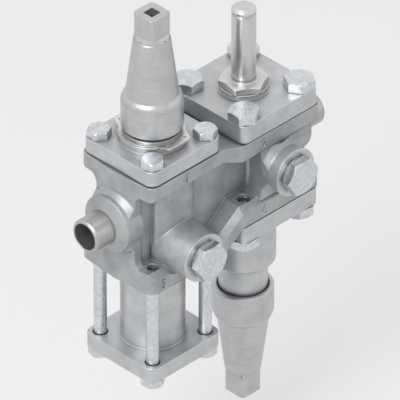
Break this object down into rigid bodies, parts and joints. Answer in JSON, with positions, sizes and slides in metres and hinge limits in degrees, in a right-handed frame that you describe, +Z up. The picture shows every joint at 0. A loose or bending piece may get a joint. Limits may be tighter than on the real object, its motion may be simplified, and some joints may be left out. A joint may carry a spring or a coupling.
{
  "type": "refrigeration valve station",
  "caption": "Inline refrigeration valve station: one cast housing with stop valve, filter, solenoid valve and hand regulating valve, between two weld nipples.",
  "frame": {"origin": "centre of the inlet nipple's weld end, on the flow axis", "axes": "+X along the flow from inlet to outlet, -Y towards the side plugs, +Z up along the stop valve's cap"},
  "size_m": [0.191, 0.0841, 0.3105],
  "materials": {
    "cast_zinc": "cast steel, fine grain, zinc plated",
    "cover_zinc": "machined steel, zinc plated",
    "weld_steel": "bare turned steel",
    "bolt_zinc": "bright zinc plated",
    "turned_steel": "turned",
    "stainless": "turned and polished",
    "spring_steel": "drawn wire",
    "cap_aluminium": "turned, satin",
    "tag_aluminium": "rolled sheet",
    "gasket_aluminium": "soft ring",
    "brass": "turned",
    "ptfe": "turned",
    "graphite": "pressed rings",
    "gasket_fibre": "pressed fibre sheet",
    "seal_rubber": "moulded"
  },
  "bodies": {
    "station": {"housing": "cast_zinc", "inlet_nipple": "weld_steel", "outlet_nipple": "weld_steel", "stop_gasket": "gasket_fibre", "stop_bonnet": "cover_zinc", "stop_bolts": "bolt_zinc", "stop_seat_ring": "brass", "stop_packing_washer": "turned_steel", "stop_packing": "graphite", "stop_gland": "brass", "tag_plate": "tag_aluminium", "tag_washer": "turned_steel", "stop_cap_seal": "seal_rubber", "filter_gasket": "gasket_fibre", "filter_pot": "cover_zinc", "filter_bolts": "bolt_zinc", "strainer_collar": "stainless", "strainer": "stainless", "strainer_base": "stainless", "solenoid_gasket": "gasket_fibre", "solenoid_cover": "cover_zinc", "solenoid_bolts": "bolt_zinc", "solenoid_seat_ring": "brass", "piston_spring": "spring_steel", "pilot_seat": "brass", "tube_nut": "stainless", "armature_tube": "stainless", "pole_piece": "stainless", "armature_spring": "spring_steel", "regulating_gasket": "gasket_fibre", "regulating_bonnet": "cover_zinc", "regulating_bolts": "bolt_zinc", "regulating_seat_ring": "brass", "regulating_packing_washer": "turned_steel", "regulating_packing": "graphite", "regulating_gland": "brass", "regulating_cap_seal": "seal_rubber", "low_plug": "bolt_zinc", "low_plug_gasket": "gasket_aluminium", "high_plug": "bolt_zinc", "high_plug_gasket": "gasket_aluminium"},
    "stop_cap": {"stop_cap": "cap_aluminium"},
    "stop_cone": {"stop_cone": "turned_steel", "stop_cone_seal": "ptfe"},
    "stop_spindle": {"stop_spindle": "stainless"},
    "main_piston": {"main_piston": "turned_steel", "piston_ring": "ptfe", "piston_seal": "ptfe"},
    "armature": {"armature": "turned_steel", "armature_seal": "seal_rubber"},
    "regulating_cone": {"regulating_cone": "turned_steel"},
    "regulating_spindle": {"regulating_spindle": "stainless"},
    "regulating_cap": {"regulating_cap": "cap_aluminium"}
  },
  "joints": [
    {"name": "stop_cap_lift", "type": "slide", "parent": "station", "child": "stop_cap", "axis": [0, 0, 1], "range_m": [0, 0.04]},
    {"name": "stop_cone_lift", "type": "slide", "parent": "station", "child": "stop_cone", "axis": [0, 0, 1], "range_m": [0, 0.006]},
    {"name": "stop_spindle_turn", "type": "hinge", "parent": "stop_cone", "child": "stop_spindle", "pos_m": [0.056, 0, 0.03], "axis": [0, 0, 1], "range_deg": [0, 1080]},
    {"name": "main_piston_lift", "type": "slide", "parent": "station", "child": "main_piston", "axis": [0, 0, 1], "range_m": [0, 0.004], "stiffness_N_per_m": 300, "springref_m": -0.006, "deforming": ["piston_spring"]},
    {"name": "armature_lift", "type": "slide", "parent": "station", "child": "armature", "axis": [0, 0, 1], "range_m": [0, 0.0025], "stiffness_N_per_m": 250, "springref_m": -0.006, "deforming": ["armature_spring"]},
    {"name": "regulating_cone_travel", "type": "slide", "parent": "station", "child": "regulating_cone", "axis": [0, 0, -1], "range_m": [0, 0.006]},
    {"name": "regulating_spindle_turn", "type": "hinge", "parent": "regulating_cone", "child": "regulating_spindle", "pos_m": [0.132, 0, -0.06], "axis": [0, 0, -1], "range_deg": [0, 1080]},
    {"name": "regulating_cap_lift", "type": "slide", "parent": "station", "child": "regulating_cap", "axis": [0, 0, -1], "range_m": [0, 0.04]}
  ],
  "couplings": [
    {"joint": "stop_spindle_turn", "follows": "stop_cone_lift", "rad_per_m": 3141.6},
    {"joint": "regulating_spindle_turn", "follows": "regulating_cone_travel", "rad_per_m": 3141.6}
  ]
}
